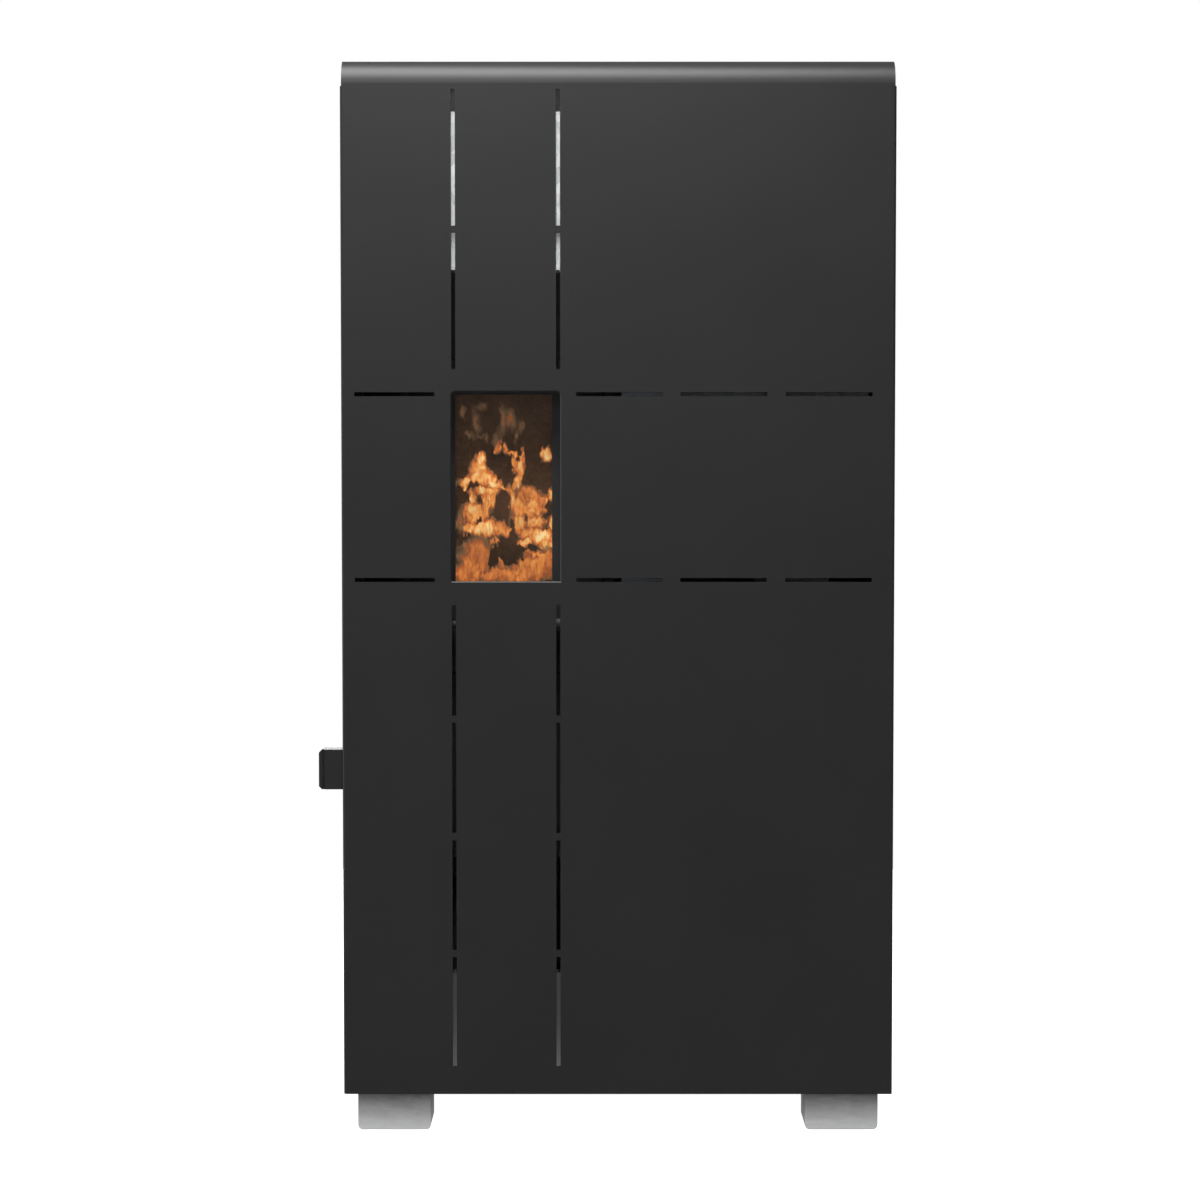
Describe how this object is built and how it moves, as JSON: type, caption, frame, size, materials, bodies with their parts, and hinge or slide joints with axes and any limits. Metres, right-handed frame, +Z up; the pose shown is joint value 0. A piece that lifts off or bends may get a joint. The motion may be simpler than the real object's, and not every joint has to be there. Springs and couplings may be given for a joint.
{
  "type": "pellet stove",
  "caption": "Slim free-standing pellet stove with a tall slotted steel front door, a small fire window, side pull, hopper lid on top and rear flue collar.",
  "frame": {"origin": "on the floor under the middle of the whole stove, with its side pull and its flue collar", "axes": "+Z up, +Y towards the stove's rear, +X to the right of someone who faces its front"},
  "size_m": [0.5634, 0.445, 1.05],
  "materials": {
    "anthracite_steel": "satin near-black paint",
    "black_steel": "matt heat-proof black paint",
    "cast_black": "cast, matt black",
    "feet_metal": "satin light grey",
    "light_grey_steel": "grey primer",
    "galvanised": "hot-dip galvanised, spangled",
    "zinc_steel": "zinc plated",
    "stainless": "brushed",
    "hot_glass": "ceramic glass",
    "rope": "knitted glass rope",
    "lining": "sooted vermiculite",
    "burner": "cast, ashy",
    "motor_metal": "die cast",
    "rubber": "soft black",
    "silicone": "silicone",
    "black_plastic": "fine texture",
    "button_plastic": "satin grey",
    "display": "gloss",
    "circuit": "solder mask",
    "red_plastic": "gloss",
    "magnet": "nickel"
  },
  "bodies": {
    "casing": {"feet": "feet_metal", "casing_fasteners": "zinc_steel", "base_pan": "black_steel", "side_panel_left": "anthracite_steel", "side_panel_right": "anthracite_steel", "rear_panel": "black_steel", "top_cover": "anthracite_steel", "lower_apron": "light_grey_steel", "partition_plate": "zinc_steel", "hinge_brackets": "black_steel", "door_magnets": "magnet", "firebox_shell": "black_steel", "firebox_lining": "lining", "baffle_plate": "lining", "exchanger_tubes": "black_steel", "igniter": "stainless", "firebox_stand": "black_steel", "warm_air_plenum": "galvanised", "air_channel": "galvanised", "blower_housing": "zinc_steel", "blower_motor": "motor_metal", "smoke_duct": "black_steel", "exhaust_housing": "motor_metal", "exhaust_motor": "motor_metal", "flue_collar": "black_steel", "air_inlet_pipe": "galvanised", "hopper": "galvanised", "hopper_guard": "stainless", "auger_tube": "black_steel", "gear_motor": "motor_metal", "pellet_chute": "black_steel", "control_panel": "black_plastic", "display_window": "display", "circuit_boards": "circuit", "control_box": "galvanised", "mains_inlet": "black_plastic", "pressure_switch": "black_plastic", "vacuum_hose": "silicone", "safety_thermostat": "black_plastic"},
    "front_door": {"front_panel": "anthracite_steel", "door_handle": "anthracite_steel", "door_hinge_pins": "zinc_steel"},
    "fire_door": {"fire_door": "cast_black", "door_glass": "hot_glass", "glass_clips": "black_steel", "door_seal": "rope"},
    "latch": {"fire_door_latch": "black_steel"},
    "ash_drawer": {"ash_drawer": "black_steel"},
    "burn_pot": {"burn_pot": "burner"},
    "lid": {"hopper_lid": "anthracite_steel", "lid_seal": "rubber"},
    "auger": {"auger_screw": "stainless"},
    "exhaust_impeller": {"exhaust_impeller": "stainless"},
    "blower_rotor": {"blower_rotor": "galvanised"},
    "rocker": {"power_switch": "black_plastic"},
    "reset": {"reset_button": "red_plastic"},
    "button_1": {"panel_button_1": "button_plastic"},
    "button_2": {"panel_button_2": "button_plastic"},
    "button_3": {"panel_button_3": "button_plastic"},
    "button_4": {"panel_button_4": "button_plastic"}
  },
  "joints": [
    {"name": "front_door_hinge", "type": "hinge", "parent": "casing", "child": "front_door", "pos_m": [0.2737, -0.2005, 0.5], "axis": [0, 0, 1], "range_deg": [0, 100]},
    {"name": "fire_door_hinge", "type": "hinge", "parent": "casing", "child": "fire_door", "pos_m": [0.0062, -0.1825, 0.6], "axis": [0, 0, 1], "range_deg": [0, 100]},
    {"name": "latch_turn", "type": "hinge", "parent": "fire_door", "child": "latch", "pos_m": [-0.1778, -0.1965, 0.5], "axis": [0, 1, 0], "range_deg": [0, 35]},
    {"name": "ash_drawer_slide", "type": "slide", "parent": "casing", "child": "ash_drawer", "axis": [0, -1, 0], "range_m": [0, 0.18]},
    {"name": "burn_pot_lift", "type": "slide", "parent": "casing", "child": "burn_pot", "axis": [0, 0, 1], "range_m": [0, 0.045]},
    {"name": "hopper_lid_hinge", "type": "hinge", "parent": "casing", "child": "lid", "pos_m": [0.1457, 0.0675, 1.045], "axis": [-1, 0, 0], "range_deg": [0, 85]},
    {"name": "auger_turn", "type": "hinge", "parent": "casing", "child": "auger", "pos_m": [0.2397, 0.1275, 0.4], "axis": [-0.7071, 0, 0.7071], "continuous": true},
    {"name": "exhaust_fan_turn", "type": "hinge", "parent": "casing", "child": "exhaust_impeller", "pos_m": [-0.0978, 0.0875, 0.16], "axis": [0, 1, 0], "continuous": true},
    {"name": "blower_turn", "type": "hinge", "parent": "casing", "child": "blower_rotor", "pos_m": [-0.1683, -0.0025, 0.15], "axis": [1, 0, 0], "continuous": true},
    {"name": "power_switch_rock", "type": "hinge", "parent": "casing", "child": "rocker", "pos_m": [0.2467, 0.1695, 0.1], "axis": [1, 0, 0], "range_deg": [-8, 8]},
    {"name": "reset_press", "type": "slide", "parent": "casing", "child": "reset", "axis": [0, -1, 0], "range_m": [0, 0.002], "stiffness_N_per_m": 600},
    {"name": "button_1_press", "type": "slide", "parent": "casing", "child": "button_1", "axis": [0, 0, -1], "range_m": [0, 0.0008], "stiffness_N_per_m": 800},
    {"name": "button_2_press", "type": "slide", "parent": "casing", "child": "button_2", "axis": [0, 0, -1], "range_m": [0, 0.0008], "stiffness_N_per_m": 800},
    {"name": "button_3_press", "type": "slide", "parent": "casing", "child": "button_3", "axis": [0, 0, -1], "range_m": [0, 0.0008], "stiffness_N_per_m": 800},
    {"name": "button_4_press", "type": "slide", "parent": "casing", "child": "button_4", "axis": [0, 0, -1], "range_m": [0, 0.0008], "stiffness_N_per_m": 800}
  ],
  "couplings": [
    {"joint": "fire_door_hinge", "follows": "front_door_hinge", "ratio": 1},
    {"joint": "ash_drawer_slide", "follows": "front_door_hinge", "m_per_rad": 0.103}
  ]
}
